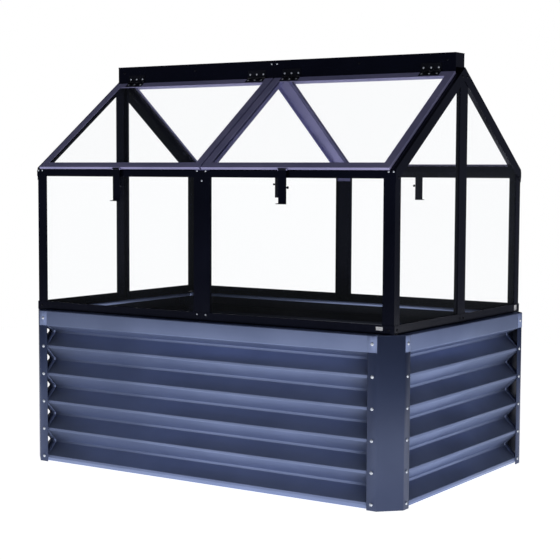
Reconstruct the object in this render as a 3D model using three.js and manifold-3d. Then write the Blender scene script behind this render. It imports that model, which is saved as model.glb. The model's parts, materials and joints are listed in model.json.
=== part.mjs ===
// A raised-bed cold frame: a corrugated sheet-steel planting bed that carries a small glazed
// house with a gabled roof. Two sashes on each side of the ridge lift on butt hinges.
// Millimetres, +Z up, front towards -Y, origin under the middle of the bed.
import * as THREE from 'three';
import { mergeVertices } from 'three/addons/utils/BufferGeometryUtils.js';
import Module from 'manifold-3d';

const wasm = await Module();
wasm.setup();

// ---- Driving dimensions ----

// Play left between pieces that touch
const gap = 0.3;

// How far the shapes inside one piece run into each other, and how far cuts run past it
const overlap = 1;

// Sides of a round rod
const rodSides = 16;

// Bed
const bedLength = 1200;
const bedDepth = 798;
const bedHeight = 432;
const bedSheet = 1;
const cornerChamfer = 50;
const postFlange = 28;
const bandHeight = 42;
const rimWidth = 45;
const rimLip = 10;
const footWidth = 8;

// Corrugation of the bed's walls: flat peaks and valleys joined by slopes
const ribDepth = 33.4;
const ribFlat = 7;
const ribPitchWanted = 79;
const firstPeakDrop = 101.4;
const lowestPeak = 15.4;
const ribsBehindFlange = 22;

// House: base rails, uprights and eaves in folded sheet
const houseEndInset = 20;
const houseFrontInset = 28.5;
const frameSheet = 1.5;
const railHeight = 23;
const railLeg = 25;
const uprightFace = 33;
const uprightReturn = 28;
const midPostWidth = 52;
const midPostReturn = 9;
const endPostWidth = 44;
const endPostReturn = 8;
const endPostLip = 8;
const eaveTop = 397.2;
const eaveWeb = 18;
const eaveLeg = 20;
const paneThickness = 3;

// Roof
const roofPitch = THREE.MathUtils.degToRad(35.75);
const rafterLift = 4.3;
const rafterFace = 28;
const rafterFlange = 33;
const midRafterWidth = 50;
const midRafterReturn = 14;
const midRafterTongue = 30;
const ridgeWidth = 50;
const ridgeSideHeight = 50;
const ridgeEndHeight = 38;
const ridgeEndSetback = 15;
const ridgeSheet = 2;
const ridgeLip = 1.5;

// Sashes, their hinges and their stays
const sashMember = 22;
const sashDepth = 7.3;
const sashSheet = 1.5;
const sashCentreGap = 3;
const sashRidgeGap = 3;
const sashOverhang = 7.5;
const hingeWidth = 60;
const hingeLeafHeight = 20;
const hingeLeafSheet = 1.2;
const hingeKnuckles = 5;
const knuckleRadius = 2.8;
const hingePinRadius = 1.5;
const innerHingeFromCentre = 58.5;
const outerHingeFromRidgeEnd = 71;
// Along the house from its middle, as each stay was fitted
const stayFromCentre = { front_left: 282, front_right: 259, back_left: 250, back_right: 250 };
const stayWidth = 23.5;
const stayLength = 88;
const staySheet = 2;
const stayFoot = 12;
const stayEyeRadius = 2.5;
const stayEarSheet = 2;
const stayPinRadius = 1.5;
const stayPinReach = 3;
const stayPinHeadRadius = 3.3;
const stayPinHeadLength = 3;
const stayPinDrop = 46;

// ---- Values that follow from them ----

const bedLayer = bedSheet + gap;
const bandEndPlay = cornerChamfer + bedLayer;
const houseBase = bedHeight + gap;
const houseHalfLength = bedLength / 2 - houseEndInset;
const houseHalfDepth = bedDepth / 2 - houseFrontInset;
const frameLayer = frameSheet + gap;
const legTop = frameSheet + gap;
const underEave = eaveTop - frameLayer;
const ridgeHalf = ridgeWidth / 2;
const ridgeEnd = houseHalfLength - ridgeEndSetback;
const sashLift = (sashDepth + gap) / Math.cos(roofPitch);
const sheetRise = frameSheet / Math.cos(roofPitch);
const sashTop = ridgeHalf + sashRidgeGap;
const sashLength = (houseHalfDepth + sashOverhang - sashTop) / Math.cos(roofPitch);
const ribCount = 1 + Math.round((bedHeight - firstPeakDrop - lowestPeak) / ribPitchWanted);
const ribPitch = (bedHeight - firstPeakDrop - lowestPeak) / (ribCount - 1);

// Top of the rafters, and of the sashes resting on them, at a distance from the ridge line
const rafterTopAt = (y) => eaveTop + rafterLift + (houseHalfDepth - y) * Math.tan(roofPitch);
const sashTopAt = (y) => rafterTopAt(y) + sashLift;

const ridgeBase = rafterTopAt(0) + gap;
const ridgeTop = ridgeBase + ridgeEndHeight;
const hingeY = ridgeHalf + gap + knuckleRadius;
const hingeZ = sashTopAt(hingeY) + (knuckleRadius + gap) / Math.cos(roofPitch);

// ---- Materials ----

const finish = (color, roughness, metalness) => ({ color, roughness, metalness });
const paintedSteel = finish(0x3d4459, 0.45, 0.5);
const blackFrame = finish(0x14151b, 0.3, 0.5);
const clearPane = { ...finish(0xe8f0f4, 0.05, 0), transparent: true, opacity: 0.2 };
const brightSteel = finish(0x8f9298, 0.35, 0.9);

// ---- Solids ----

function toSolid(geometry) {
  geometry.deleteAttribute('normal');
  geometry.deleteAttribute('uv');
  const { attributes, index } = mergeVertices(geometry);
  const vertProperties = attributes.position.array;
  const triVerts = new Uint32Array(index.array);
  return new wasm.Manifold(new wasm.Mesh({ numProp: 3, vertProperties, triVerts }));
}

function toGeometry(solid) {
  const { vertProperties, triVerts } = solid.getMesh();
  const geometry = new THREE.BufferGeometry();
  geometry.setAttribute('position', new THREE.BufferAttribute(vertProperties, 3));
  geometry.setIndex(new THREE.BufferAttribute(triVerts, 1));
  geometry.computeVertexNormals();
  return geometry;
}

function extrude(outline, length, axes, start) {
  const shape = new THREE.Shape(outline.map(([u, v]) => new THREE.Vector2(u, v)));
  const geometry = new THREE.ExtrudeGeometry(shape, { depth: length, bevelEnabled: false });
  geometry.applyMatrix4(new THREE.Matrix4().makeBasis(...axes));
  geometry.translate(start.x, start.y, start.z);
  return toSolid(geometry);
}

const X = new THREE.Vector3(1, 0, 0);
const Y = new THREE.Vector3(0, 1, 0);
const Z = new THREE.Vector3(0, 0, 1);

// Outline in Y and Z, in X and Z, or in X and Y, pulled from one station to another
function alongX(outline, from, to) {
  return extrude(outline, to - from, [Y, Z, X], new THREE.Vector3(from, 0, 0));
}

function alongY(outline, from, to) {
  return extrude(outline, to - from, [X, Z, Y.clone().negate()], new THREE.Vector3(0, to, 0));
}

function alongZ(outline, from, to) {
  return extrude(outline, to - from, [X, Y, Z], new THREE.Vector3(0, 0, from));
}

function block([x0, x1], [y0, y1], [z0, z1]) {
  const geometry = new THREE.BoxGeometry(x1 - x0, y1 - y0, z1 - z0);
  geometry.translate((x0 + x1) / 2, (y0 + y1) / 2, (z0 + z1) / 2);
  return toSolid(geometry);
}

function rod(radius, length, axis, middle) {
  const geometry = new THREE.CylinderGeometry(radius, radius, length, rodSides);
  geometry.applyQuaternion(new THREE.Quaternion().setFromUnitVectors(Y, axis));
  geometry.translate(...middle);
  return toSolid(geometry);
}

const join = (...solids) => solids.reduce((whole, solid) => whole.add(solid));

// Range on one side of the middle: from and to, measured away from it
const onSide = (side, from, to) => [side * from, side * to].sort((a, b) => a - b);

const mirrored = (side, outline) => outline.map(([x, other]) => [side * x, other]);

// Outline of a folded sheet: its outer line, and the same line set in by the thickness
// on the left of the way the line runs, mitred at each fold
function foldedSheet(line, thickness) {
  const points = line.map(([u, v]) => new THREE.Vector2(u, v));
  const normals = points.slice(1).map((point, i) => {
    const along = point.clone().sub(points[i]).normalize();
    return new THREE.Vector2(-along.y, along.x);
  });
  const inner = points.map((point, i) => {
    const before = normals[Math.max(i - 1, 0)];
    const after = normals[Math.min(i, normals.length - 1)];
    const mitre = before.clone().add(after);
    return point.clone().addScaledVector(mitre, (2 * thickness) / mitre.lengthSq());
  });
  return [...points, ...inner.reverse()].map((point) => [point.x, point.y]);
}

function piece(name, solid, { ...look }) {
  const mesh = new THREE.Mesh(toGeometry(solid), new THREE.MeshStandardMaterial(look));
  mesh.name = name;
  return mesh;
}

// ---- Bed ----

// Outer line of a wall's head: rim lip, rim and flat band
function headLine(outside) {
  const rimEnd = outside + rimWidth;
  const rim = [[rimEnd, bedHeight - rimLip], [rimEnd, bedHeight]];
  return [...rim, [outside, bedHeight], [outside, bedHeight - bandHeight]];
}

// The whole wall: its head, then the corrugation down to the foot
function wallLine(outside) {
  const peakDepth = 2 * bedLayer;
  const valleyDepth = peakDepth + ribDepth;
  const line = headLine(outside);
  for (let i = 0; i < ribCount; i += 1) {
    const peak = bedHeight - firstPeakDrop - i * ribPitch;
    const valley = peak + ribPitch / 2;
    for (const [depth, height] of [[valleyDepth, valley], [peakDepth, peak]]) {
      line.push([outside + depth, height + ribFlat / 2]);
      line.push([outside + depth, height - ribFlat / 2]);
    }
  }
  const footStart = outside + peakDepth + lowestPeak - ribFlat / 2;
  return [...line, [footStart, 0], [footStart + footWidth, 0]];
}

// The band and rim run on over the corner posts' flanges as far as the chamfer, and the
// corrugation runs on behind them; a slot between the two takes the flange
function bedPanel(name, span, outside) {
  const bandEnd = span / 2 - bandEndPlay;
  const flangeEnd = span / 2 - cornerChamfer - postFlange - gap;
  const bodyEnd = flangeEnd + ribsBehindFlange;
  const body = alongX(foldedSheet(wallLine(outside), bedSheet), -bodyEnd, bodyEnd);
  const band = alongX(foldedSheet(headLine(outside), bedSheet), -bandEnd, bandEnd);
  const slotDepth = [outside + bedSheet, outside + 2 * bedLayer];
  const slots = [-1, 1].map((side) => {
    return block(onSide(side, flangeEnd, span / 2), slotDepth, [-overlap, bedHeight - bedLayer]);
  });
  return piece(name, join(body, band).subtract(join(...slots)), paintedSteel);
}

// Chamfered corner post with a flange behind each band, and a tab folded in at its head
function cornerPost(name, side) {
  const x = bedLength / 2;
  const y = -bedDepth / 2;
  const start = [x - cornerChamfer, y + bedLayer];
  const end = [x - bedLayer, y + cornerChamfer];
  const line = [[start[0] - postFlange, start[1]], start, end, [end[0], end[1] + postFlange]];
  const shell = alongZ(mirrored(side, foldedSheet(line, bedSheet)), 0, bedHeight - bedLayer);
  const face = alongZ(mirrored(side, foldedSheet([start, end], bedSheet)), 0, bedHeight);
  const head = alongZ(mirrored(side, [start, end, [start[0], end[1]]]), bedHeight - bedSheet, bedHeight);
  return piece(name, join(shell, face, head), paintedSteel);
}

function makeBed() {
  const bed = new THREE.Group();
  for (const [name, turn, span, depth] of [
    ['front', 0, bedLength, bedDepth], ['right', 1, bedDepth, bedLength],
    ['back', 2, bedLength, bedDepth], ['left', 3, bedDepth, bedLength],
  ]) {
    const panel = bedPanel(`${name}_panel`, span, -depth / 2);
    panel.rotation.z = (turn * Math.PI) / 2;
    bed.add(panel);
  }
  for (const [face, turn] of [['front', 0], ['back', 1]]) {
    for (const side of [-1, 1]) {
      const post = cornerPost(`${face}_${sideName(side, turn)}_corner_post`, side);
      post.rotation.z = turn * Math.PI;
      bed.add(post);
    }
  }
  return bed;
}

// Which side of the whole object a piece is on, once its wall is turned round
const sideName = (side, turned) => ((side > 0) === (turned === 0) ? 'right' : 'left');

// ---- House walls: each is built facing -Y, in a group that is turned into place ----

function longRail(name) {
  const wall = -houseHalfDepth;
  const line = [[wall, railHeight], [wall, 0], [wall + railLeg, 0]];
  return piece(name, alongX(foldedSheet(line, frameSheet), -houseHalfLength, houseHalfLength), blackFrame);
}

// The end rails fit between the long ones: their webs stop behind the webs, their legs at the legs
function endRail(name) {
  const wall = -houseHalfLength;
  const webEnd = houseHalfDepth - frameLayer;
  const legEnd = houseHalfDepth - railLeg - gap;
  const web = block([-webEnd, webEnd], [wall, wall + frameSheet], [frameLayer, railHeight]);
  const low = block([-legEnd, legEnd], [wall, wall + frameSheet], [0, railHeight]);
  const leg = block([-legEnd, legEnd], [wall, wall + railLeg], [0, frameSheet]);
  return piece(name, join(web, low, leg), blackFrame);
}

function upright(name, side) {
  const x = houseHalfLength - frameLayer;
  const y = -houseHalfDepth + frameLayer;
  const line = [[x - uprightFace, y], [x, y], [x, y + uprightReturn]];
  const outline = mirrored(side, foldedSheet(line, frameSheet));
  return piece(name, alongZ(outline, legTop, underEave), blackFrame);
}

function midPost(name) {
  const face = -houseHalfDepth + frameLayer;
  const x = midPostWidth / 2;
  const line = [[-x, face + midPostReturn], [-x, face], [x, face], [x, face + midPostReturn]];
  return piece(name, alongZ(foldedSheet(line, frameSheet), legTop, underEave), blackFrame);
}

// Hat section from the end rail to just under the meeting of the gable rafters
function endPost(name) {
  const face = -houseHalfLength + frameLayer;
  const x = endPostWidth / 2;
  const foot = face + endPostReturn;
  const line = [[-x, foot], [-x, face], [x, face], [x, foot]];
  const outline = foldedSheet(line, frameSheet);
  const top = rafterTopAt(x) - sheetRise - gap;
  const lips = [-1, 1].map((side) => {
    const reach = onSide(side, x - frameSheet, x + endPostLip);
    return block(reach, [foot - frameSheet, foot], [legTop, rafterTopAt(x + endPostLip) - sheetRise - gap]);
  });
  return piece(name, join(alongZ(outline, legTop, top), ...lips), blackFrame);
}

// Z section: web, top leg and an upstand that carries the rafters and closes the gap under the
// sash. The leg leaves room for the mid rafter's tongue at one end, the end pane at the other
function eave(name, side) {
  const wall = -houseHalfDepth;
  const inner = wall + eaveLeg;
  const web = block(onSide(side, gap / 2, houseHalfLength), [wall, wall + frameSheet],
    [eaveTop - eaveWeb, eaveTop]);
  const legEnd = houseHalfLength - 2 * frameLayer - paneThickness - gap;
  const reach = onSide(side, midRafterWidth / 2 + gap, legEnd);
  const leg = block(reach, [wall, inner], [eaveTop - frameSheet, eaveTop]);
  const upstandTop = rafterTopAt(-wall) - sheetRise - gap;
  const rise = (eaveLeg - frameSheet) * Math.tan(roofPitch);
  const upstand = block(reach, [inner - frameSheet, inner], [eaveTop - frameSheet, upstandTop + rise]);
  return piece(name, join(web, leg, upstand), blackFrame);
}

function wallPane(name, side) {
  const outer = -houseHalfDepth + 2 * frameLayer;
  const reach = onSide(side, midPostWidth / 2 + gap, houseHalfLength - 2 * frameLayer);
  return piece(name, block(reach, [outer, outer + paneThickness], [legTop, underEave]), clearPane);
}

function endPane(name, side) {
  const outer = -houseHalfLength + 2 * frameLayer;
  const inner = endPostWidth / 2 + gap;
  const edge = houseHalfDepth - 2 * frameLayer - paneThickness - gap;
  const head = sheetRise + gap;
  const outline = [[inner, legTop], [edge, legTop]];
  outline.push([edge, rafterTopAt(edge) - head], [inner, rafterTopAt(inner) - head]);
  return piece(name, alongY(mirrored(side, outline), outer, outer + paneThickness), clearPane);
}

// Slanting band under the rafters' top line, between two distances from the ridge
function slope(from, to, drop) {
  const top = [[from, rafterTopAt(from)], [to, rafterTopAt(to)]];
  return [...top, [to, rafterTopAt(to) - drop], [from, rafterTopAt(from) - drop]];
}

function gableRafter(name, side) {
  const wall = -houseHalfLength;
  const foot = houseHalfDepth - frameLayer;
  const face = slope(gap / 2, foot, rafterFace / Math.cos(roofPitch));
  const flange = slope(gap / 2, foot, sheetRise);
  const leg = alongY(mirrored(side, face), wall, wall + frameSheet);
  const top = alongY(mirrored(side, flange), wall, wall + rafterFlange);
  return piece(name, join(leg, top), blackFrame);
}

// Channel under the meeting stiles of two sashes; a tongue at its foot laps the mid post
function midRafter(name) {
  const half = midRafterWidth / 2;
  const foot = houseHalfDepth - 2 * frameLayer;
  const returnFoot = houseHalfDepth - eaveLeg - gap;
  const towardsWall = (outline) => mirrored(-1, outline);
  const web = alongX(towardsWall(slope(gap / 2, foot, sheetRise)), -half, half);
  const returns = [-1, 1].map((side) => {
    const outline = towardsWall(slope(gap / 2, returnFoot, midRafterReturn));
    return alongX(outline, ...onSide(side, half - frameSheet, half));
  });
  const tongueHalf = midPostWidth / 2 - frameLayer;
  const tongueTop = rafterTopAt(foot) - sheetRise / 2;
  const tongue = block([-tongueHalf, tongueHalf], [-foot, -foot + frameSheet],
    [eaveTop - midRafterTongue, tongueTop]);
  return piece(name, join(web, ...returns, tongue), blackFrame);
}

// ---- Ridge ----

// Inverted channel with a closed end; the two halves meet at a seam over the mid rafters
function ridgeHalfPiece(name, side) {
  const foot = ridgeTop - ridgeSideHeight;
  const half = ridgeHalf;
  const line = [[half, foot], [half, ridgeTop], [-half, ridgeTop], [-half, foot]];
  const body = alongX(foldedSheet(line, ridgeSheet), ...onSide(side, gap / 2, ridgeEnd));
  const end = block(onSide(side, ridgeEnd - ridgeSheet, ridgeEnd), [-half, half], [ridgeBase, ridgeTop]);
  const lip = block(onSide(side, gap / 2, ridgeEnd), [-half - ridgeLip, half + ridgeLip],
    [ridgeTop - ridgeSheet, ridgeTop]);
  return piece(name, join(body, end, lip), blackFrame);
}

// ---- Sashes ----

// Slope frame: Y runs up the slope from the sash's foot at -sashLength, Z out of the roof
const stayEyeY = -sashLength - gap - stayEyeRadius;
const stayEyeZ = -sashDepth / 2;

function sashFrame(name, side, stayX) {
  const [x0, x1] = onSide(side, sashCentreGap, ridgeEnd);
  const outside = block([x0, x1], [-sashLength, 0], [-sashDepth, 0]);
  const opening = block([x0 + sashMember, x1 - sashMember], [sashMember - sashLength, -sashMember],
    [-sashDepth, overlap]);
  const rebate = block([x0 + sashSheet, x1 - sashSheet], [sashSheet - sashLength, -sashSheet],
    [-sashDepth - overlap, -sashSheet]);
  const ears = [-1, 1].map((way) => {
    const [near, far] = [stayWidth / 2 + gap, stayWidth / 2 + gap + stayEarSheet];
    const reach = onSide(way, near, far).map((x) => x + side * stayX);
    return block(reach, [stayEyeY - stayEyeRadius, sashSheet / 2 - sashLength],
      [stayEyeZ - stayEyeRadius, stayEyeZ + stayEyeRadius]);
  });
  return piece(name, join(outside.subtract(opening).subtract(rebate), ...ears), blackFrame);
}

function roofPane(name, side) {
  const edge = sashSheet + gap;
  const reach = onSide(side, sashCentreGap + edge, ridgeEnd - edge);
  const solid = block(reach, [edge - sashLength, -edge], [-edge - paneThickness, -edge]);
  return piece(name, solid, clearPane);
}

// Flat bar that hangs from the sash's foot, with a turned-out toe and a headed pin on one edge
function stay(name) {
  const half = stayWidth / 2;
  const face = staySheet / 2;
  const eye = rod(stayEyeRadius, stayWidth, X, [0, 0, 0]);
  const bar = block([-half, half], [-face, face], [-stayLength, 0]);
  const toe = block([-half, half], [-face - stayFoot, face], [-stayLength, staySheet - stayLength]);
  const pinLength = stayPinReach + stayPinHeadLength + overlap;
  const pinMiddle = half - overlap + pinLength / 2;
  const pin = rod(stayPinRadius, pinLength, X, [pinMiddle, 0, -stayPinDrop]);
  const headMiddle = half + stayPinReach + stayPinHeadLength / 2;
  const head = rod(stayPinHeadRadius, stayPinHeadLength, X, [headMiddle, 0, -stayPinDrop]);
  return piece(name, join(eye, bar, toe, pin, head), blackFrame);
}

// Leaf screwed to the ridge, with every second knuckle and the pin through all of them
function hinge(name) {
  const knuckle = hingeWidth / hingeKnuckles;
  const inner = -ridgeHalf - gap + hingeY;
  const leaf = block([-hingeWidth / 2, hingeWidth / 2], [inner - hingeLeafSheet, inner],
    [knuckleRadius, hingeLeafHeight]);
  const pin = rod(hingePinRadius, hingeWidth, X, [0, 0, 0]);
  const knuckles = Array.from({ length: (hingeKnuckles + 1) / 2 }, (_, i) => {
    const middle = -hingeWidth / 2 + knuckle / 2 + 2 * i * knuckle;
    const barrel = rod(knuckleRadius, knuckle - 2 * gap, X, [middle, 0, 0]);
    const reach = [middle - knuckle / 2 + gap, middle + knuckle / 2 - gap];
    return barrel.add(block(reach, [inner - hingeLeafSheet, inner], [0, knuckleRadius + overlap]));
  });
  return piece(name, join(leaf, pin, ...knuckles), brightSteel);
}

// ---- Assembly ----

function makeLongWall(face, turned) {
  const wall = new THREE.Group();
  wall.rotation.z = turned * Math.PI;
  wall.add(longRail(`${face}_base_rail`), midPost(`${face}_mid_post`), midRafter(`${face}_mid_rafter`));
  for (const side of [-1, 1]) {
    const place = `${face}_${sideName(side, turned)}`;
    wall.add(upright(`${place}_upright`, side), eave(`${place}_eave`, side));
    wall.add(wallPane(`${place}_wall_pane`, side));
  }
  return wall;
}

function makeEndWall(end, direction) {
  const wall = new THREE.Group();
  wall.rotation.z = (direction * Math.PI) / 2;
  wall.add(endRail(`${end}_base_rail`), endPost(`${end}_end_post`));
  for (const side of [-1, 1]) {
    const place = `${side === direction ? 'back' : 'front'}_${end}`;
    wall.add(gableRafter(`${place}_gable_rafter`, side), endPane(`${place}_end_pane`, side));
  }
  return wall;
}

function makeRoofSide(face, turned) {
  const roof = new THREE.Group();
  roof.rotation.z = turned * Math.PI;
  const incline = new THREE.Group();
  incline.position.set(0, -sashTop, sashTopAt(sashTop));
  incline.rotation.x = roofPitch;
  roof.add(incline);
  const eyeAt = new THREE.Vector3(0, stayEyeY, stayEyeZ).applyAxisAngle(X, roofPitch);
  eyeAt.add(incline.position);
  for (const side of [-1, 1]) {
    const place = `${face}_${sideName(side, turned)}`;
    const stayX = stayFromCentre[place];
    incline.add(sashFrame(`${place}_sash_frame`, side, stayX), roofPane(`${place}_roof_pane`, side));
    const bar = stay(`${place}_stay`);
    bar.position.set(side * stayX, eyeAt.y, eyeAt.z);
    roof.add(bar);
    for (const [which, x] of [
      ['inner', innerHingeFromCentre], ['outer', ridgeEnd - outerHingeFromRidgeEnd],
    ]) {
      const leaf = hinge(`${place}_${which}_hinge`);
      leaf.position.set(side * x, -hingeY, hingeZ);
      roof.add(leaf);
    }
  }
  return roof;
}

function makeHouse() {
  const house = new THREE.Group();
  house.position.z = houseBase;
  house.add(makeLongWall('front', 0), makeLongWall('back', 1));
  house.add(makeEndWall('right', 1), makeEndWall('left', -1));
  house.add(ridgeHalfPiece('ridge_left', -1), ridgeHalfPiece('ridge_right', 1));
  house.add(makeRoofSide('front', 0), makeRoofSide('back', 1));
  return house;
}

const coldFrame = new THREE.Group();
coldFrame.add(makeBed(), makeHouse());
coldFrame.updateMatrixWorld(true);

export default coldFrame;
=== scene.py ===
# %% [markdown]
# # A cold frame: a corrugated steel bed with a glazed house on its rim
# The real one is a flat-pack kit. Coil-coated steel sheet is pressed into ribs for the bed's
# walls, thin black-painted steel is folded into rails, posts and rafters, and clear panes fill
# the gaps. Everything is held by small screws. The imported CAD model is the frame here: it
# gives every place and size, and this script adds the finish, the rounded bends and the screws.

# %% Load the frame
import json
import math

import bmesh
import bpy
from mathutils import Euler, Matrix, Vector


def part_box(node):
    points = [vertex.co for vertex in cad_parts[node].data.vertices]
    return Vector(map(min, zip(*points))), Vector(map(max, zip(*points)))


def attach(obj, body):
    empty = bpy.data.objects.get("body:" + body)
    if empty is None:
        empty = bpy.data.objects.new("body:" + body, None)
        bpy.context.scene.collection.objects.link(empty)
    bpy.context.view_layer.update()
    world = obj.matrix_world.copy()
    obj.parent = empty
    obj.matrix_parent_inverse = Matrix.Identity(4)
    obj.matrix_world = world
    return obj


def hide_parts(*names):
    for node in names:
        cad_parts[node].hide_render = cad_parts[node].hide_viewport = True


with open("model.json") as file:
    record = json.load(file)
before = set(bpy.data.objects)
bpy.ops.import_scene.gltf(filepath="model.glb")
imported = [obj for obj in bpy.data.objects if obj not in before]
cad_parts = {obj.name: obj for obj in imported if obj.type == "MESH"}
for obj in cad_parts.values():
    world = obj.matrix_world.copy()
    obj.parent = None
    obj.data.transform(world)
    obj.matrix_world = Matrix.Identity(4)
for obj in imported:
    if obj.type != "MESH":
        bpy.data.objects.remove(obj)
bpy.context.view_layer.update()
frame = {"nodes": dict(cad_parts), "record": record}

# %% [markdown]
# ## Sizes
# Blender works in metres. The overall sizes come from the frame's boxes. Only the details that a
# box can't give, such as the ribs' shape, the play between sheets and the screws' places, are
# named again where they are used.

# %% Sizes of the bed and the house
MM = 0.001
play = 0.3 * MM  # the gap that touching pieces keep
front_low, front_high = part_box("front_panel")
bed_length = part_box("right_panel")[1].x * 2
bed_depth = front_low.y * -2
bed_height = front_high.z
rail_low, rail_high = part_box("front_base_rail")
house_half_length = rail_high.x
house_half_depth = -rail_low.y
eave_low, eave_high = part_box("front_right_eave")
ridge_low, ridge_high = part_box("ridge_right")
print("bed", bed_length, bed_depth, bed_height, "house", house_half_length, house_half_depth)

# %% Names of the four corners, with the signs of their X and Y
CORNERS = {
    "front_left": (-1, -1),
    "front_right": (1, -1),
    "back_left": (-1, 1),
    "back_right": (1, 1),
}

# %% [markdown]
# ## Node helpers
# Materials and Geometry Nodes trees are both built in code. Two small helpers keep the tree
# code readable: one adds a node with its settings, the other links two sockets.


# %% Add nodes and link them
def add_node(tree, kind, **settings):
    node = tree.nodes.new(kind)
    for key, value in settings.items():
        setattr(node, key, value)
    return node


def link(tree, source, target):
    tree.links.new(source, target)


def new_material(name):
    material = bpy.data.materials.new(name)
    material.use_nodes = True
    shader = material.node_tree.nodes["Principled BSDF"]
    return material, material.node_tree, shader


# %% [markdown]
# ## Painted finishes
# Paint on steel is never one flat colour. Sprayed powder coat dries with a fine orange-peel
# ripple, coil coating is smoother, and both gather a little dust and rub bright or dull in
# places. Three noises do this: a broad one for colour, a middle one for gloss, and a fine one
# for the ripple, all on Object coordinates so that they keep their scale in metres. Zinc plate
# and label paper are built the same way, with their own colours and gloss.


# %% The finish that every colour below is made with
PATCH_SCALE = 7.0
RUB_SCALE = 23.0
PEEL_HEIGHT = 0.2 * MM


def noise(tree, coords, scale, detail=3.0):
    node = add_node(tree, "ShaderNodeTexNoise")
    node.inputs["Scale"].default_value = scale
    node.inputs["Detail"].default_value = detail
    link(tree, coords.outputs["Object"], node.inputs["Vector"])
    return node.outputs["Fac"]


def ramp(tree, value, stops):
    node = add_node(tree, "ShaderNodeValToRGB")
    for i, (place, colour) in enumerate(stops):
        if i < 2:
            stop = node.color_ramp.elements[i]
            stop.position = place
        else:
            stop = node.color_ramp.elements.new(place)
        stop.color = (*colour, 1)
    link(tree, value, node.inputs["Fac"])
    return node.outputs["Color"]


def gloss_range(tree, value, low, high):
    node = add_node(tree, "ShaderNodeMapRange")
    node.inputs["To Min"].default_value = low
    node.inputs["To Max"].default_value = high
    link(tree, value, node.inputs["Value"])
    return node.outputs["Result"]


def ripple(tree, value, strength, height):
    node = add_node(tree, "ShaderNodeBump")
    node.inputs["Strength"].default_value = strength
    node.inputs["Distance"].default_value = height
    link(tree, value, node.inputs["Height"])
    return node.outputs["Normal"]


def paint(name, dark, light, gloss, peel, metallic=0.0, tint=(1, 1, 1), level=0.5):
    """Two colours that drift into each other, a span of gloss, and a ripple (scale, strength)."""
    material, tree, shader = new_material(name)
    coords = add_node(tree, "ShaderNodeTexCoord")
    broad = noise(tree, coords, PATCH_SCALE)
    link(tree, ramp(tree, broad, [(0.3, dark), (0.7, light)]), shader.inputs["Base Color"])
    link(tree, gloss_range(tree, noise(tree, coords, RUB_SCALE), *gloss), shader.inputs["Roughness"])
    peel_scale, peel_strength = peel
    fine = noise(tree, coords, peel_scale, 2.0)
    link(tree, ripple(tree, fine, peel_strength, PEEL_HEIGHT), shader.inputs["Normal"])
    shader.inputs["Metallic"].default_value = metallic
    shader.inputs["Specular Tint"].default_value = (*tint, 1)
    shader.inputs["Specular IOR Level"].default_value = level
    return material


# %% [markdown]
# The bed's sheet has a blue-grey coil coat outside and a thin backing coat inside, whose nearly
# black colour is partly painted shade for the bed's shaded inside, and its posts are powder coated
# in a darker blue. The house is gloss black. Its sashes and its two middle rafters get a lighter,
# satin colour, which is painted sheen: it stands in for the lavender gloss of the black frame.

# %% The coats of the bed and the house, the two zincs and the paper
sheet_paint = paint(
    "coil_coated_sheet", (0.215, 0.268, 0.455), (0.252, 0.310, 0.515),
    gloss=(0.42, 0.50), peel=(900, 0.10), metallic=0.65, tint=(0.80, 0.88, 1.0),
)
# the reverse coat: a backing coat whose near-black colour is partly painted shade inside the bed
backing_coat_and_painted_shade = paint(
    "backing_coat_with_painted_shade", (0.010, 0.012, 0.022), (0.018, 0.021, 0.036),
    gloss=(0.40, 0.52), peel=(500, 0.25), tint=(0.80, 0.85, 1.0),
)
post_paint = paint(
    "powder_coated_post", (0.052, 0.071, 0.150), (0.062, 0.084, 0.172),
    gloss=(0.48, 0.58), peel=(700, 0.35), tint=(0.80, 0.86, 1.0),
)
frame_paint = paint(
    "black_gloss_frame", (0.0015, 0.0018, 0.004), (0.003, 0.0035, 0.008),
    gloss=(0.14, 0.22), peel=(800, 0.15), tint=(0.55, 0.60, 1.0), level=0.25,
)
# a lighter copy of the black frame paint: painted sheen for the lavender gloss on the mid rafters
rafter_painted_sheen = paint(
    "rafter_coat_with_painted_sheen", (0.20, 0.20, 0.38), (0.30, 0.29, 0.52),
    gloss=(0.26, 0.38), peel=(800, 0.15), metallic=0.4, tint=(0.60, 0.60, 1.0),
)
# a lighter copy of the black frame paint for the sashes: painted sheen for their lit top faces
sash_painted_sheen = paint(
    "sash_coat_with_painted_sheen", (0.26, 0.26, 0.46), (0.38, 0.36, 0.60),
    gloss=(0.24, 0.36), peel=(800, 0.15), tint=(0.60, 0.60, 1.0),
)
bright_zinc = paint(
    "bright_zinc_screw", (0.78, 0.83, 0.93), (0.88, 0.93, 1.0),
    gloss=(0.18, 0.32), peel=(1500, 0.2), metallic=0.6,
)
dark_zinc = paint(
    "black_zinc_hinge", (0.004, 0.0045, 0.008), (0.010, 0.011, 0.018),
    gloss=(0.22, 0.36), peel=(1200, 0.25), metallic=0.3, level=0.25,
)
label_paper = paint(
    "label_paper", (0.90, 0.90, 0.91), (0.95, 0.95, 0.96),
    gloss=(0.35, 0.5), peel=(600, 0.1),
)
print("finishes", [m.name for m in bpy.data.materials])

# %% [markdown]
# ## Clear panes
# The panes are thin clear sheet. Real refraction through a thin flat sheet shifts the view by
# less than a millimetre, so a see-through shader mixed with a mirror at grazing angles gives the
# same look, lets light reach the bed, and stays free of noise. A faint haze stands for dust.


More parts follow.
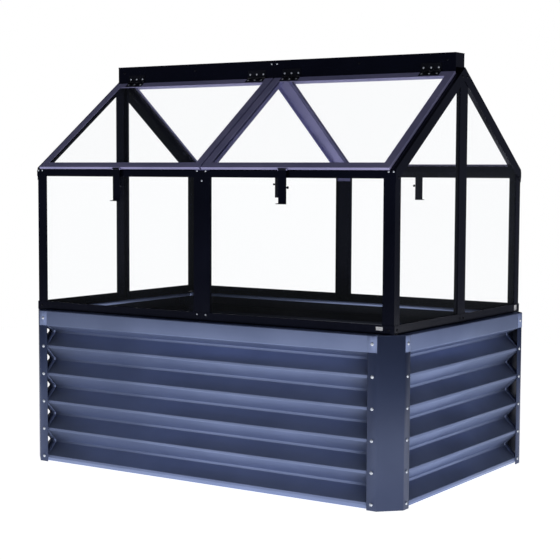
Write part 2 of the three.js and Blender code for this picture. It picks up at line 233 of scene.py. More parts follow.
# %% The pane's finish
def clear_pane():
    material, tree, shader = new_material("clear_pane")
    coords = add_node(tree, "ShaderNodeTexCoord")
    through = add_node(tree, "ShaderNodeBsdfTransparent")
    through.inputs["Color"].default_value = (0.996, 0.998, 1.0, 1)
    shader.inputs["Base Color"].default_value = (0.7, 0.76, 0.84, 1)
    link(tree, gloss_range(tree, noise(tree, coords, 14.0), 0.02, 0.07), shader.inputs["Roughness"])
    grazing = add_node(tree, "ShaderNodeLayerWeight")
    grazing.inputs["Blend"].default_value = 0.25
    falloff = add_node(tree, "ShaderNodeMath", operation="POWER")
    falloff.inputs[1].default_value = 3.0
    link(tree, grazing.outputs["Facing"], falloff.inputs[0])
    mirror = gloss_range(tree, falloff.outputs["Value"], 0.003, 0.20)
    haze = gloss_range(tree, noise(tree, coords, 5.0), 0.0, 0.004)
    amount = add_node(tree, "ShaderNodeMath", operation="ADD", use_clamp=True)
    link(tree, mirror, amount.inputs[0])
    link(tree, haze, amount.inputs[1])
    mix = add_node(tree, "ShaderNodeMixShader")
    link(tree, amount.outputs["Value"], mix.inputs["Fac"])
    link(tree, through.outputs["BSDF"], mix.inputs[1])
    link(tree, shader.outputs["BSDF"], mix.inputs[2])
    link(tree, mix.outputs["Shader"], tree.nodes["Material Output"].inputs["Surface"])
    return material


pane = clear_pane()
print("pane finish", pane.name)

# %% [markdown]
# ## Folded sheet, made by Geometry Nodes
# A press brake folds flat sheet along straight lines, and every fold keeps a small radius. That
# radius is what catches a thin line of light. The tree takes the outer line of a section, rounds
# its corners, pulls it along a straight run and gives it the sheet's thickness, just as the
# machine does. The faces that the thickness adds on top are marked as the sheet's reverse, and
# get the backing coat, whose near-black colour is partly painted shade. The same tree makes the
# ribbed walls and the corner posts.


# %% Build the folded-sheet tree
WELD_GAP = 0.01 * MM
BEND_POINTS = 5


def tree_socket(tree, name, kind, default=None, way="INPUT"):
    socket = tree.interface.new_socket(name=name, in_out=way, socket_type=kind)
    if default is not None:
        socket.default_value = default
    return socket


def new_tree(name):
    tree = bpy.data.node_groups.new(name, "GeometryNodeTree")
    tree_socket(tree, "Geometry", "NodeSocketGeometry")
    tree_socket(tree, "Geometry", "NodeSocketGeometry", way="OUTPUT")
    return tree, add_node(tree, "NodeGroupInput"), add_node(tree, "NodeGroupOutput")


def folded_sheet_tree():
    tree, given, result = new_tree("folded_sheet")
    tree_socket(tree, "Bend Radius", "NodeSocketFloat", 3 * MM)
    tree_socket(tree, "Thickness", "NodeSocketFloat", 1 * MM)
    tree_socket(tree, "Run", "NodeSocketVector")
    tree_socket(tree, "Finish", "NodeSocketMaterial")
    # the reverse faces' finish, whose near-black colour is partly painted shade
    tree_socket(tree, "Backing", "NodeSocketMaterial")
    line = add_node(tree, "GeometryNodeMeshToCurve")
    link(tree, given.outputs["Geometry"], line.inputs["Mesh"])
    bends = add_node(tree, "GeometryNodeFilletCurve")
    bends.mode = "POLY"
    bends.inputs["Count"].default_value = BEND_POINTS
    bends.inputs["Limit Radius"].default_value = True
    link(tree, line.outputs["Curve"], bends.inputs["Curve"])
    link(tree, given.outputs["Bend Radius"], bends.inputs["Radius"])
    wire = add_node(tree, "GeometryNodeCurveToMesh")
    link(tree, bends.outputs["Curve"], wire.inputs["Curve"])
    skin = add_node(tree, "GeometryNodeExtrudeMesh", mode="EDGES")
    link(tree, wire.outputs["Mesh"], skin.inputs["Mesh"])
    link(tree, given.outputs["Run"], skin.inputs["Offset"])
    skin.inputs["Offset Scale"].default_value = 1.0
    wall = add_node(tree, "GeometryNodeExtrudeMesh", mode="FACES")
    wall.inputs["Individual"].default_value = False
    link(tree, skin.outputs["Mesh"], wall.inputs["Mesh"])
    link(tree, given.outputs["Thickness"], wall.inputs["Offset Scale"])
    marked = add_node(tree, "GeometryNodeStoreNamedAttribute", data_type="BOOLEAN", domain="FACE")
    marked.inputs["Name"].default_value = "reverse"
    link(tree, wall.outputs["Mesh"], marked.inputs["Geometry"])
    link(tree, wall.outputs["Top"], marked.inputs["Value"])
    back = add_node(tree, "GeometryNodeFlipFaces")
    link(tree, skin.outputs["Mesh"], back.inputs["Mesh"])
    both = add_node(tree, "GeometryNodeJoinGeometry")
    link(tree, marked.outputs["Geometry"], both.inputs["Geometry"])
    link(tree, back.outputs["Mesh"], both.inputs["Geometry"])
    closed = add_node(tree, "GeometryNodeMergeByDistance")
    closed.inputs["Distance"].default_value = WELD_GAP
    link(tree, both.outputs["Geometry"], closed.inputs["Geometry"])
    real = add_node(tree, "GeometryNodeRealizeInstances")
    link(tree, closed.outputs["Geometry"], real.inputs["Geometry"])
    coated = add_node(tree, "GeometryNodeSetMaterial")
    link(tree, real.outputs["Geometry"], coated.inputs["Geometry"])
    link(tree, given.outputs["Finish"], coated.inputs["Material"])
    reverse = add_node(tree, "GeometryNodeInputNamedAttribute", data_type="BOOLEAN")
    reverse.inputs["Name"].default_value = "reverse"
    backed = add_node(tree, "GeometryNodeSetMaterial")
    link(tree, coated.outputs["Geometry"], backed.inputs["Geometry"])
    link(tree, reverse.outputs["Attribute"], backed.inputs["Selection"])
    link(tree, given.outputs["Backing"], backed.inputs["Material"])
    link(tree, backed.outputs["Geometry"], result.inputs["Geometry"])
    return tree


folded_sheet = folded_sheet_tree()
print("tree", folded_sheet.name, len(folded_sheet.nodes), "nodes")


# %% Run a tree on a starting mesh and keep the plain result
def set_inputs(modifier, values):
    for item in modifier.node_group.interface.items_tree:
        if item.in_out == "INPUT" and item.name in values:
            modifier[item.identifier] = values[item.name]


def grown(tree, start, values):
    seed = bpy.data.objects.new("seed", start)
    bpy.context.scene.collection.objects.link(seed)
    modifier = seed.modifiers.new("grow", "NODES")
    modifier.node_group = tree
    set_inputs(modifier, values)
    graph = bpy.context.evaluated_depsgraph_get()
    mesh = bpy.data.meshes.new_from_object(seed.evaluated_get(graph))
    bpy.data.objects.remove(seed)
    # a tree's result starts with one empty slot, which would shift the finishes by one
    if mesh.materials[0] is None:
        mesh.materials.pop(index=0)
    return mesh


def line_mesh(points):
    mesh = bpy.data.meshes.new("line")
    mesh.from_pydata(points, [(i, i + 1) for i in range(len(points) - 1)], [])
    return mesh


# %% Join meshes into one named piece in its place
def make_piece(name, meshes, body, finishes, place=Matrix.Identity(4)):
    whole = bmesh.new()
    for mesh in meshes:
        whole.from_mesh(mesh)
    bmesh.ops.transform(whole, matrix=place, verts=whole.verts)
    mesh = bpy.data.meshes.new(name)
    whole.to_mesh(mesh)
    whole.free()
    for finish in finishes:
        mesh.materials.append(finish)
    piece = bpy.data.objects.new(name, mesh)
    bpy.context.scene.collection.objects.link(piece)
    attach(piece, body)
    print(name, len(mesh.polygons), "faces")
    return piece


# %% [markdown]
# ## The bed's ribbed walls
# Each wall is one pressed sheet: a rim folded inwards, a flat band, then five ribs and a folded
# foot. The band passes in front of the corner posts' flanges, and the ribs run on behind them,
# so the section is pulled in three lengths: the whole line between the flanges, and at each end
# the band by itself and the ribs by themselves. A wall stands in a frame of its own, with X along
# it and Y into the bed, and is then turned to its side of the bed.

# %% The wall's section
sheet = 1 * MM
layer = sheet + play
wall_bend = 2.6 * MM
band_height = 42 * MM
rim_width = front_high.y - front_low.y
rim_lip = 10 * MM
rib_depth = 33.4 * MM
rib_flat = 7 * MM
band_to_first_peak = 59.4 * MM
usual_pitch = 79 * MM
first_peak = bed_height - band_height - band_to_first_peak
lowest_peak = 15.4 * MM
rib_count = 1 + round((first_peak - lowest_peak) / usual_pitch)
rib_pitch = (first_peak - lowest_peak) / (rib_count - 1)
foot_width = 8 * MM
post_flange = 28 * MM
ribs_behind_flange = 22 * MM
band_inset = bed_length / 2 - front_high.x
chamfer = band_inset - layer
flange_reach = chamfer + post_flange + play
rib_reach = flange_reach - ribs_behind_flange
peak_heights = [first_peak - i * rib_pitch for i in range(rib_count)]


def head_line(outside):
    inside = outside + rim_width
    line = [(inside, bed_height - rim_lip), (inside, bed_height)]
    return line + [(outside, bed_height), (outside, bed_height - band_height)]


def rib_line(outside):
    peak_depth = outside + 2 * layer
    line = []
    for height in peak_heights:
        for depth, middle in [(rib_depth, height + rib_pitch / 2), (0, height)]:
            line.append((peak_depth + depth, middle + rib_flat / 2))
            line.append((peak_depth + depth, middle - rib_flat / 2))
    foot = peak_depth + lowest_peak - rib_flat / 2
    return line + [(foot, 0), (foot + foot_width, 0)]


print("ribs", rib_count, "pitch", round(rib_pitch / MM, 2), "mm")


# %% Pull the section along each wall
def pulled(line, start, end):
    points = [(start, y, z) for y, z in line]
    values = {"Run": (end - start, 0, 0), "Thickness": sheet, "Bend Radius": wall_bend}
    values["Finish"], values["Backing"] = sheet_paint, backing_coat_and_painted_shade
    return grown(folded_sheet, line_mesh(points), values)


def behind_band(outside):
    """The ribs from just behind the flange: the first slope starts inside the flange."""
    ribs = rib_line(outside)
    top = Vector((outside, bed_height - band_height))
    valley = Vector(ribs[0])
    share = 2 * layer / (valley.x - outside)
    return [tuple(top.lerp(valley, share)), *ribs]


# each wall: quarter turns from the front, its own length, and the bed's measure across it
WALLS = {
    "front": (0, bed_length, bed_depth),
    "right": (1, bed_depth, bed_length),
    "back": (2, bed_length, bed_depth),
    "left": (3, bed_depth, bed_length),
}
for name, (turn, span, depth) in WALLS.items():
    outside = -depth / 2
    flange_end = span / 2 - flange_reach
    rib_end = span / 2 - rib_reach
    band_end = span / 2 - band_inset
    parts = [pulled(head_line(outside) + rib_line(outside), -flange_end, flange_end)]
    for start, end in [(flange_end, band_end), (-band_end, -flange_end)]:
        parts.append(pulled(head_line(outside), start, end))
    for start, end in [(flange_end, rib_end), (-rib_end, -flange_end)]:
        parts.append(pulled(behind_band(outside), start, end))
    turned = Matrix.Rotation(turn * math.pi / 2, 4, "Z")
    wall = make_piece(f"{name}_ribbed_wall", parts, "bed", [sheet_paint, backing_coat_and_painted_shade], turned)
    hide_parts(f"{name}_panel")

# %% [markdown]
# ## Corner posts
# A post is one strip folded twice at 45 degrees, which makes the flat chamfer on the corner.
# Its flanges stop below the panels' rims, while the chamfer goes on up to the rim's height and
# ends in a small tab that is folded in.


# %% Fold the posts
post_bend = 3 * MM


def post_meshes():
    """The front right post. The others are this one, mirrored and turned."""
    x, y = bed_length / 2, -bed_depth / 2
    start = Vector((x - chamfer, y + layer, 0))
    end = Vector((x - layer, y + chamfer, 0))
    line = [start - Vector((post_flange, 0, 0)), start, end, end + Vector((0, post_flange, 0))]
    flange_top = bed_height - layer
    values = {"Thickness": sheet, "Bend Radius": post_bend, "Run": (0, 0, flange_top)}
    values["Finish"], values["Backing"] = post_paint, backing_coat_and_painted_shade
    inner = Vector((-1, 1, 0)).normalized() * sheet
    corner = Vector((start.x, end.y, 0))
    head = bmesh.new()
    for outline, low, high in [
        ([start, end, end + inner, start + inner], flange_top, bed_height),
        ([start, end, corner], bed_height - sheet, bed_height),
    ]:
        bottom = [head.verts.new((p.x, p.y, low)) for p in outline]
        top = [head.verts.new((p.x, p.y, high)) for p in outline]
        head.faces.new(reversed(bottom))
        head.faces.new(top)
        for i, vertex in enumerate(bottom):
            j = (i + 1) % len(outline)
            head.faces.new((vertex, bottom[j], top[j], top[i]))
    mesh = bpy.data.meshes.new("post_head")
    head.to_mesh(mesh)
    head.free()
    return [grown(folded_sheet, line_mesh([tuple(p) for p in line]), values), mesh]


def mirror_across(side):
    return Matrix.Diagonal((side, 1, 1, 1))


# a mirrored piece comes out with its faces pointing inwards
def faces_outwards(piece):
    shape = bmesh.new()
    shape.from_mesh(piece.data)
    bmesh.ops.recalc_face_normals(shape, faces=shape.faces)
    shape.to_mesh(piece.data)
    shape.free()


for corner, (side, face) in CORNERS.items():
    turned = Matrix.Rotation(math.pi if face > 0 else 0, 4, "Z")
    hand = side if face < 0 else -side
    post = make_piece(
        f"{corner}_folded_post", post_meshes(), "bed", [post_paint, backing_coat_and_painted_shade],
        turned @ mirror_across(hand),
    )
    faces_outwards(post)
    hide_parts(f"{corner}_corner_post")

# %% [markdown]
# ## Screws
# One head is modelled in the tree, cut from a flattened ball, and an instance goes on every
# point that is handed in, turned to face out of its sheet and spun by a seeded random angle, as
# hand-driven screws are.


# %% Build the screw tree
SLOT_LONG = 6.2 * MM
SLOT_WIDE = 1.1 * MM
SLOT_TALL = 3 * MM
SLOT_MIDDLE = 2.7 * MM
# the block that cuts the ball's lower half away, a little above the sheet
UNDERCUT_WIDE = 40 * MM
UNDERCUT_TALL = 20 * MM
UNDERCUT_MIDDLE = -9.9 * MM


def screw_head(tree, given):
    ball = add_node(tree, "GeometryNodeMeshUVSphere")
    ball.inputs["Segments"].default_value = 18
    ball.inputs["Rings"].default_value = 10
    ball.inputs["Radius"].default_value = 1.0
    shaped = add_node(tree, "GeometryNodeTransform")
    link(tree, ball.outputs["Mesh"], shaped.inputs["Geometry"])
    size = add_node(tree, "ShaderNodeCombineXYZ")
    link(tree, given.outputs["Head Radius"], size.inputs["X"])
    link(tree, given.outputs["Head Radius"], size.inputs["Y"])
    link(tree, given.outputs["Head Height"], size.inputs["Z"])
    link(tree, size.outputs["Vector"], shaped.inputs["Scale"])
    cutters = add_node(tree, "GeometryNodeJoinGeometry")
    for extent, middle in [
        ((SLOT_LONG, SLOT_WIDE, SLOT_TALL), (0, 0, SLOT_MIDDLE)),
        ((SLOT_WIDE, SLOT_LONG, SLOT_TALL), (0, 0, SLOT_MIDDLE)),
        ((UNDERCUT_WIDE, UNDERCUT_WIDE, UNDERCUT_TALL), (0, 0, UNDERCUT_MIDDLE)),
    ]:
        cutter = add_node(tree, "GeometryNodeMeshCube")
        cutter.inputs["Size"].default_value = extent
        moved = add_node(tree, "GeometryNodeTransform")
        moved.inputs["Translation"].default_value = middle
        link(tree, cutter.outputs["Mesh"], moved.inputs["Geometry"])
        link(tree, moved.outputs["Geometry"], cutters.inputs["Geometry"])
    cut = add_node(tree, "GeometryNodeMeshBoolean", operation="DIFFERENCE", solver="EXACT")
    cut.inputs["Self Intersection"].default_value = True
    link(tree, shaped.outputs["Geometry"], cut.inputs["Mesh 1"])
    link(tree, cutters.outputs["Geometry"], cut.inputs["Mesh 2"])
    return cut.outputs["Mesh"]


def screw_tree():
    tree, given, result = new_tree("screws")
    tree_socket(tree, "Head Radius", "NodeSocketFloat", 5 * MM)
    tree_socket(tree, "Head Height", "NodeSocketFloat", 2.6 * MM)
    tree_socket(tree, "Seed", "NodeSocketInt", 7)
    tree_socket(tree, "Finish", "NodeSocketMaterial")
    facing = add_node(tree, "GeometryNodeInputNamedAttribute", data_type="FLOAT_VECTOR")
    facing.inputs["Name"].default_value = "facing"
    aim = add_node(tree, "FunctionNodeAlignRotationToVector", axis="Z")
    link(tree, facing.outputs["Attribute"], aim.inputs["Vector"])
    spin = add_node(tree, "FunctionNodeRandomValue", data_type="FLOAT")
    spin.inputs[3].default_value = math.tau
    link(tree, given.outputs["Seed"], spin.inputs["Seed"])
    about = add_node(tree, "ShaderNodeCombineXYZ")
    link(tree, spin.outputs[1], about.inputs["Z"])
    turn = add_node(tree, "FunctionNodeRotateRotation", rotation_space="LOCAL")
    link(tree, aim.outputs["Rotation"], turn.inputs["Rotation"])
    link(tree, about.outputs["Vector"], turn.inputs["Rotate By"])
    place = add_node(tree, "GeometryNodeInstanceOnPoints")
    link(tree, given.outputs["Geometry"], place.inputs["Points"])
    link(tree, screw_head(tree, given), place.inputs["Instance"])
    link(tree, turn.outputs["Rotation"], place.inputs["Rotation"])
    real = add_node(tree, "GeometryNodeRealizeInstances")
    link(tree, place.outputs["Instances"], real.inputs["Geometry"])
    coated = add_node(tree, "GeometryNodeSetMaterial")
    link(tree, real.outputs["Geometry"], coated.inputs["Geometry"])
    link(tree, given.outputs["Finish"], coated.inputs["Material"])
    link(tree, coated.outputs["Geometry"], result.inputs["Geometry"])
    return tree


screws = screw_tree()


# %% Turn a list of places into a set of screws
def point_mesh(places):
    mesh = bpy.data.meshes.new("places")
    mesh.from_pydata([tuple(point) for point, facing in places], [], [])
    facings = mesh.attributes.new("facing", "FLOAT_VECTOR", "POINT")
    facings.data.foreach_set("vector", [v for point, facing in places for v in facing])
    return mesh


# the heads' radius and height
BED_HEAD = (4.6 * MM, 2.6 * MM)
HOUSE_HEAD = (3.4 * MM, 1.9 * MM)
LAP_HEAD = (2.6 * MM, 1.4 * MM)
LEAF_HEAD = (2.8 * MM, 1.4 * MM)


def screw_set(name, places, body, finish, head):
    radius, height = head
    values = {"Head Radius": radius, "Head Height": height, "Finish": finish, "Seed": len(places)}
    piece = make_piece(name, [grown(screws, point_mesh(places), values)], body, [finish])
    print(name, len(places), "screws")
    return piece


# %% Screws of the bed: one through the band, then one on each rib
screw_from_bend = 14.7 * MM
bed_places = []
for side in (-1, 1):
    for heights, out in [([bed_height - band_height / 2], 0), (peak_heights, layer)]:
        for z in heights:
            along = side * (bed_length / 2 - chamfer - screw_from_bend)
            across = side * (bed_depth / 2 - chamfer - screw_from_bend)
            for face in (-1, 1):
                bed_places.append(((along, face * (bed_depth / 2 - out), z), (0, face, 0)))
                bed_places.append(((face * (bed_length / 2 - out), across, z), (face, 0, 0)))
screw_set("bed_screws", bed_places, "bed", bright_zinc, BED_HEAD)

# %% [markdown]
# ## The house's own screws
# The rails, posts, eaves and rafters lap each other, and a small screw goes through each lap. Its
# place follows from the boxes of the pieces that meet. Most of these screws are black. Those of
# the mid posts, of the eaves' ends and of the ridge's joint are smaller and bright.

# %% The black screws of the house
upright_inset = 14 * MM
corner_inset = 15 * MM
end_post_inset = 10 * MM
gable_foot_rise = 14 * MM
gable_head_inset = 14 * MM
gable_head_drop = 24 * MM
ridge_screws_x = (275 * MM, 541 * MM)
ridge_screw_drop = 18 * MM
ridge_lip = 1.5 * MM
house_places = []
rail_mid = (rail_low.z + rail_high.z) / 2
eave_mid = (eave_low.z + eave_high.z) / 2
upright_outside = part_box("front_right_upright")[1].x
rafter_low, rafter_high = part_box("front_right_gable_rafter")
ridge_half = (ridge_high.y - ridge_low.y) / 2 - ridge_lip
for face in (-1, 1):
    for side in (-1, 1):
        wall_y = face * house_half_depth
        end_x = side * house_half_length
        by_upright = side * (upright_outside - upright_inset)
        house_places.append(((by_upright, wall_y, rail_mid), (0, face, 0)))
        corner_y = face * (house_half_depth - corner_inset)
        for y, z in [
            (face * end_post_inset, rail_mid),
            (corner_y, rail_mid),
            (corner_y, rafter_low.z + gable_foot_rise),
            (face * gable_head_inset, rafter_high.z - gable_head_drop),
        ]:
            house_places.append(((end_x, y, z), (side, 0, 0)))
        for x in ridge_screws_x:
            place = (side * x, face * ridge_half, ridge_high.z - ridge_screw_drop)
            house_places.append((place, (0, face, 0)))
screw_set("house_screws", house_places, "house", dark_zinc, HOUSE_HEAD)

# %% The bright screws of the house
post_screw_inset = 12 * MM
rail_screw_drop = 6 * MM
ridge_joint_x = 9 * MM
ridge_joint_drop = 10 * MM
eave_end_insets = (6 * MM, 20 * MM)
tongue_drop = 9 * MM
lap_places = []
mid_post_low, mid_post_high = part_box("front_mid_post")
lap_step = mid_post_high.x - post_screw_inset
mid_post_face = -mid_post_low.y
for face in (-1, 1):
    wall_y = face * house_half_depth
    for side in (-1, 1):
        for z in (rail_high.z - rail_screw_drop, eave_mid):
            lap_places.append(((side * lap_step, wall_y, z), (0, face, 0)))
        place = (side * ridge_joint_x, face * ridge_half, ridge_high.z - ridge_joint_drop)
        lap_places.append((place, (0, face, 0)))
        for inset in eave_end_insets:
            place = (side * (house_half_length - inset), wall_y, eave_mid)
            lap_places.append((place, (0, face, 0)))
    lap_places.append(((0, face * mid_post_face, eave_low.z - tongue_drop), (0, face, 0)))
screw_set("lap_screws", lap_places, "house", bright_zinc, LAP_HEAD)

# %% [markdown]
# ## Hinges
# Each sash hangs on two butt hinges. The CAD gives the leaf on the ridge with its pin and every
# second knuckle. The leaf on the sash is made here: a plate that lies on the top rail, with the
# two knuckles between. It rides on the sash, so it opens with it.

# %% The roof's slope, the hinge's place and the leaf's sizes
joints = {joint["name"]: joint for joint in frame["record"]["behaviour"]["joints"]}
hinge_low, hinge_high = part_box("front_right_inner_hinge")
hinge_at = Vector(joints["front_right_sash_hinge"]["pos_m"])
roof_pitch = math.radians(35.75)
knuckle_radius = 2.8 * MM
hinge_width = hinge_high.x - hinge_low.x
leaf_length = 21 * MM
leaf_sheet = 1.2 * MM
leaf_under = -knuckle_radius
leaf_over = leaf_sheet - knuckle_radius
leaf_clear_of_pin = 3.1 * MM
tongue_length = 4 * MM
knuckle_count = 5
knuckle = hinge_width / knuckle_count
leaf_screw_step = 22.5 * MM
leaf_screw_line = 0.6 * leaf_length
ridge_leaf_screw_drop = 12 * MM
print("hinge axis", [round(v, 4) for v in hinge_at], "pitch", round(math.degrees(roof_pitch), 2))


# %% Make a plate and a barrel
PLATE_ROUNDING = 0.3 * MM
BARREL_SIDES = 24


def block_mesh(low, high):
    shape = bmesh.new()
    size = Vector(high) - Vector(low)
    middle = (Vector(high) + Vector(low)) / 2
    place = Matrix.Translation(middle) @ Matrix.Diagonal((*size, 1))
    bmesh.ops.create_cube(shape, size=1, matrix=place)
    rounding = min(PLATE_ROUNDING, min(size) / 3)
    bmesh.ops.bevel(shape, geom=shape.edges, offset=rounding, segments=2, affect="EDGES")
    mesh = bpy.data.meshes.new("block")
    shape.to_mesh(mesh)
    shape.free()
    return mesh


def barrel_mesh(middle, radius, length):
    shape = bmesh.new()
    place = Matrix.Translation(middle) @ Matrix.Rotation(math.pi / 2, 4, "Y")
    bmesh.ops.create_cone(
        shape, cap_ends=True, segments=BARREL_SIDES, radius1=radius, radius2=radius, depth=length,
        matrix=place,
    )
    mesh = bpy.data.meshes.new("barrel")
    shape.to_mesh(mesh)
    shape.free()
    return mesh


# %% The sash leaves and their screws, one set for each sash
def on_slope(face):
    """From a sash's own space (X along the hinges, -Y down the slope, Z out of the roof)."""
    turned = Matrix.Rotation(math.pi if face > 0 else 0, 4, "Z")
    middle = Matrix.Translation((0, -abs(hinge_at.y), hinge_at.z))
    return turned @ middle @ Matrix.Rotation(roof_pitch, 4, "X")


for corner, (side, face) in CORNERS.items():
    local = -side * face
    leaf_parts, leaf_places = [], []
    for which in ("inner", "outer"):
        low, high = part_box(f"{corner}_{which}_hinge")
        x = local * abs(low.x + high.x) / 2
        half = hinge_width / 2
        plate_ends = (x - half, -leaf_length, leaf_under), (x + half, -leaf_clear_of_pin, leaf_over)
        leaf_parts.append(block_mesh(*plate_ends))
        for step in (-1, 1):
            middle = x + step * knuckle
            reach = knuckle / 2 - play
            leaf_parts.append(barrel_mesh((middle, 0, 0), knuckle_radius, knuckle - 2 * play))
            tongue_ends = (middle - reach, -tongue_length, leaf_under), (middle + reach, 0, leaf_over)
            leaf_parts.append(block_mesh(*tongue_ends))
        for step in (-1, 0, 1):
            spot = (x + step * leaf_screw_step, -leaf_screw_line, leaf_over)
            leaf_places.append((spot, (0, 0, 1)))
    slope = on_slope(face)
    leaf = make_piece(f"{corner}_sash_leaves", leaf_parts, f"{corner}_sash", [dark_zinc], slope)
    outwards = slope.to_3x3()
    placed = [(slope @ Vector(spot), outwards @ Vector(facing)) for spot, facing in leaf_places]
    screw_set(f"{corner}_sash_screws", placed, f"{corner}_sash", bright_zinc, LEAF_HEAD)

# %% Screws through the ridge leaves
ridge_leaf_places = []
for corner, (_, face) in CORNERS.items():
    for which in ("inner", "outer"):
        low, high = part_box(f"{corner}_{which}_hinge")
        y = face * (ridge_half + play + leaf_sheet)
        for step in (-1, 0, 1):
            x = (low.x + high.x) / 2 + step * leaf_screw_step
            ridge_leaf_places.append(((x, y, high.z - ridge_leaf_screw_drop), (0, face, 0)))
screw_set("ridge_leaf_screws", ridge_leaf_places, "house", bright_zinc, LEAF_HEAD)

# %% [markdown]
# ## Blank labels
# They carry no print here. Each is a thin plate with rounded edges that lies on its face.

# %% Stick the labels on
label_sheet = 0.3 * MM
rail_label_from, rail_label_to = house_half_length - 51 * MM, house_half_length - 32 * MM
rail_label_foot, rail_label_head = rail_mid - 2 * MM, rail_mid + 7 * MM
post_label_from, post_label_to = house_half_depth - 35 * MM, house_half_depth - 19 * MM
post_label_foot, post_label_head = rail_high.z - 18 * MM, rail_high.z - 3 * MM
rail_label = block_mesh(
    (rail_label_from, -house_half_depth - label_sheet, rail_label_foot),
    (rail_label_to, -house_half_depth, rail_label_head),
)
post_label = block_mesh(
    (house_half_length, post_label_from, post_label_foot),
    (house_half_length + label_sheet, post_label_to, post_label_head),
)
labels = make_piece("blank_labels", [rail_label, post_label], "house", [label_paper])

# %% [markdown]
# ## Finishes on the CAD pieces
# The folded rails, posts, rafters, sashes, hinges and panes are already right in shape. They get
# their finish, and all but the panes get a very small rounding, because a painted sheet edge is
# never knife sharp and the rounding is what catches the light.


# %% Assign the finishes and round the edges
SHEET_ROUNDING = 0.35 * MM
HINGE_ROUNDING = 0.2 * MM
SHARP_ANGLE = math.radians(40)


def dress(node, finish, rounding):
    piece = frame["nodes"][node]
    for finish_slot in piece.material_slots:
        finish_slot.material = finish
    if rounding:
        weld = piece.modifiers.new("weld", "WELD")
        weld.merge_threshold = WELD_GAP
        edges = piece.modifiers.new("edges", "BEVEL")
        edges.width = rounding
        edges.segments = 2
        edges.limit_method = "ANGLE"
        edges.angle_limit = SHARP_ANGLE
        edges.harden_normals = True


for entry in frame["record"]["subparts"]:
    node = entry["node"]
    if node.endswith("pane"):
        dress(node, pane, 0)
    elif node.endswith("hinge"):
        dress(node, dark_zinc, HINGE_ROUNDING)
    # the mid rafters and the sash frames get lighter copies of the black paint, a painted sheen
    elif node.endswith("mid_rafter"):
        dress(node, rafter_painted_sheen, SHEET_ROUNDING)
    elif node.endswith("sash_frame"):
        dress(node, sash_painted_sheen, SHEET_ROUNDING)
    elif not node.endswith(("panel", "corner_post")):
        dress(node, frame_paint, SHEET_ROUNDING)
print("dressed", len(frame["nodes"]), "CAD nodes")

# %% [markdown]
# ## Floor, light and camera
# A plain pale floor and soft light, as in a product studio. The floor glows a little by itself.
# The world looks plain white, but as light it is brightest at the horizon and dark overhead, so
# faces that look up stay deep and faces that look at the bright floor turn lighter, which is what
# shows the ribs. Two opposite sides of it are darker as well, as dark screens would make them,
# which keeps the gloss black frame black. Two wide, low lights lift the bed's walls.


# %% The floor
FLOOR_SIZE = 6
FLOOR_DROP = 0.5 * MM


def make_floor():
    bpy.ops.mesh.primitive_plane_add(size=FLOOR_SIZE, location=(0, 0, -FLOOR_DROP))
    floor = bpy.context.object
    floor.name = "studio_floor"
    material, tree, shader = new_material("white_floor")
    coords = add_node(tree, "ShaderNodeTexCoord")
    shades = [(0.2, (0.48, 0.48, 0.485)), (0.8, (0.5, 0.5, 0.505))]
    link(tree, ramp(tree, noise(tree, coords, 0.6), shades), shader.inputs["Base Color"])
    shader.inputs["Roughness"].default_value = 0.7
    shader.inputs["Specular IOR Level"].default_value = 0.1
    shader.inputs["Emission Color"].default_value = (1, 1, 1, 1)
    shader.inputs["Emission Strength"].default_value = 1.0
    floor.data.materials.append(material)
    return floor


make_floor()


# %% The world: plain white to look at, and a graded studio where it lights the object
DARK_SIDE = (-0.55, -0.83, 0)
BY_HEIGHT = [(0.02, (0.85, 0.85, 0.88)), (0.26, (0.03, 0.033, 0.045))]
BY_SIDE = [(0.2, (1, 1, 1)), (0.8, (0.15, 0.16, 0.20))]


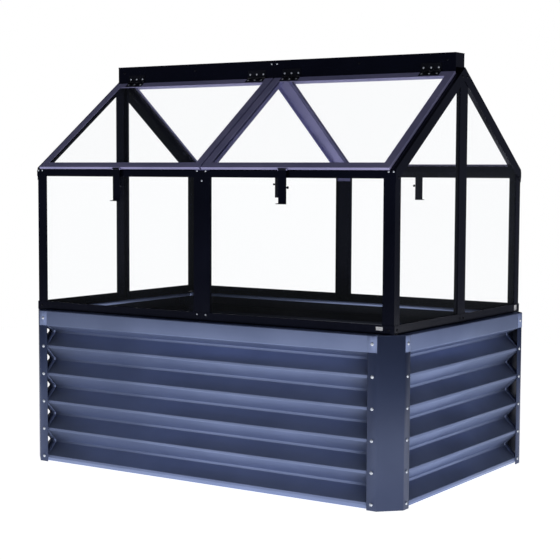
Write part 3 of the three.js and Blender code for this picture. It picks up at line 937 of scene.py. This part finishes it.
def make_world():
    world = bpy.data.worlds.new("studio")
    bpy.context.scene.world = world
    world.use_nodes = True
    tree = world.node_tree
    coords = add_node(tree, "ShaderNodeTexCoord")
    split = add_node(tree, "ShaderNodeSeparateXYZ")
    link(tree, coords.outputs["Generated"], split.inputs["Vector"])
    height = ramp(tree, split.outputs["Z"], BY_HEIGHT)
    dark_side = add_node(tree, "ShaderNodeVectorMath", operation="DOT_PRODUCT")
    dark_side.inputs[1].default_value = DARK_SIDE
    link(tree, coords.outputs["Generated"], dark_side.inputs[0])
    either_way = add_node(tree, "ShaderNodeMath", operation="ABSOLUTE")
    link(tree, dark_side.outputs["Value"], either_way.inputs[0])
    round_about = ramp(tree, either_way.outputs["Value"], BY_SIDE)
    shade = add_node(tree, "ShaderNodeMix", data_type="RGBA", blend_type="MULTIPLY")
    shade.inputs["Factor"].default_value = 1.0
    link(tree, height, shade.inputs[6])
    link(tree, round_about, shade.inputs[7])
    link(tree, shade.outputs[2], tree.nodes["Background"].inputs["Color"])
    sweep = add_node(tree, "ShaderNodeBackground")
    sweep.inputs["Color"].default_value = (1, 1, 1, 1)
    path = add_node(tree, "ShaderNodeLightPath")
    mix = add_node(tree, "ShaderNodeMixShader")
    link(tree, path.outputs["Is Camera Ray"], mix.inputs["Fac"])
    link(tree, tree.nodes["Background"].outputs["Background"], mix.inputs[1])
    link(tree, sweep.outputs["Background"], mix.inputs[2])
    link(tree, mix.outputs["Shader"], tree.nodes["World Output"].inputs["Surface"])


make_world()


# %% Soft lights
def soft_light(name, place, aim, size, power):
    data = bpy.data.lights.new(name, "AREA")
    data.shape = "RECTANGLE"
    data.size, data.size_y = size
    data.energy = power
    lamp = bpy.data.objects.new(name, data)
    bpy.context.scene.collection.objects.link(lamp)
    lamp.location = place
    lamp.rotation_euler = (Vector(aim) - Vector(place)).to_track_quat("-Z", "Y").to_euler()
    lamp.visible_glossy = False
    return lamp


bed_middle = (0, 0, 0.3)
soft_light("key_right", (4.2, 0.4, 0.35), bed_middle, (2.2, 0.6), 8)
soft_light("fill_front", (-0.6, -4.6, 0.35), bed_middle, (3.0, 0.6), 30)

# %% The camera
camera_place = Vector((2.2227, -3.3862, 0.8265))
camera_azimuth = math.radians(33.21)
camera_tilt = math.radians(4.35)
camera_roll = math.radians(0.26)
camera_data = bpy.data.cameras.new("camera")
camera_data.lens = 91.35
camera_data.sensor_width = 36
camera = bpy.data.objects.new("camera", camera_data)
bpy.context.scene.collection.objects.link(camera)
turned = Euler((math.pi / 2 - camera_tilt, 0, camera_azimuth)).to_matrix()
camera.rotation_mode = "QUATERNION"
camera.rotation_quaternion = (turned @ Matrix.Rotation(camera_roll, 3, "Z")).to_quaternion()
camera.location = camera_place
bpy.context.scene.camera = camera
bpy.context.scene.view_settings.view_transform = "Standard"
